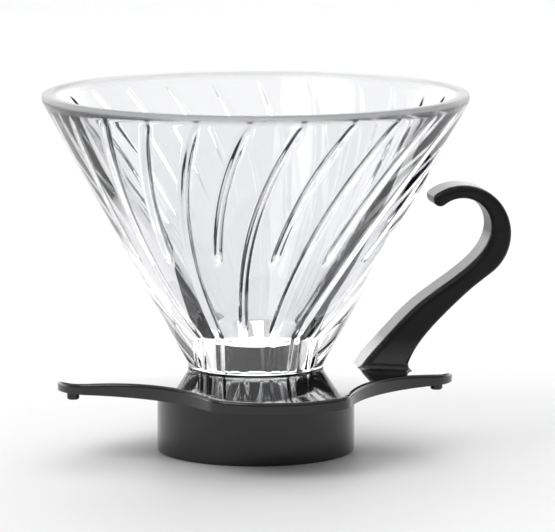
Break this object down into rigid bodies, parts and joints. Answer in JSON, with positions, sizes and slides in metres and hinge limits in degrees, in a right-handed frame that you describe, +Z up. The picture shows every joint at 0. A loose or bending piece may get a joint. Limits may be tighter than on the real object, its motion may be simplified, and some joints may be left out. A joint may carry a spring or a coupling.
{
  "type": "pour over dripper",
  "caption": "Pour over coffee dripper: ribbed clear glass cone on a domed black base with an open hook handle, held by a threaded lock ring underneath.",
  "frame": {"origin": "on the cone's axis, in the flat underside of the base plate, which is the face that rests on a cup or a server", "axes": "+Z up along the cone's axis, +X from the axis towards the handle"},
  "size_m": [0.128, 0.116, 0.0983],
  "materials": {
    "glass": "clear, fire-polished borosilicate glass",
    "base": "moulded gloss black",
    "gasket": "black silicone rubber",
    "ring": "fine satin black"
  },
  "bodies": {
    "base": {"base_and_handle": "base", "seat_gasket": "gasket"},
    "cone": {"glass_cone": "glass"},
    "ring": {"lock_ring": "ring"}
  },
  "joints": [
    {"name": "lock_ring_turn", "type": "hinge", "parent": "base", "child": "ring", "pos_m": [0, 0, 0], "axis": [0, 0, -1], "range_deg": [0, 100]},
    {"name": "cone_lift", "type": "slide", "parent": "base", "child": "cone", "axis": [0, 0, 1], "range_m": [0, 0.00333]}
  ],
  "couplings": [
    {"joint": "lock_ring_turn", "follows": "cone_lift", "rad_per_m": 523.6}
  ]
}
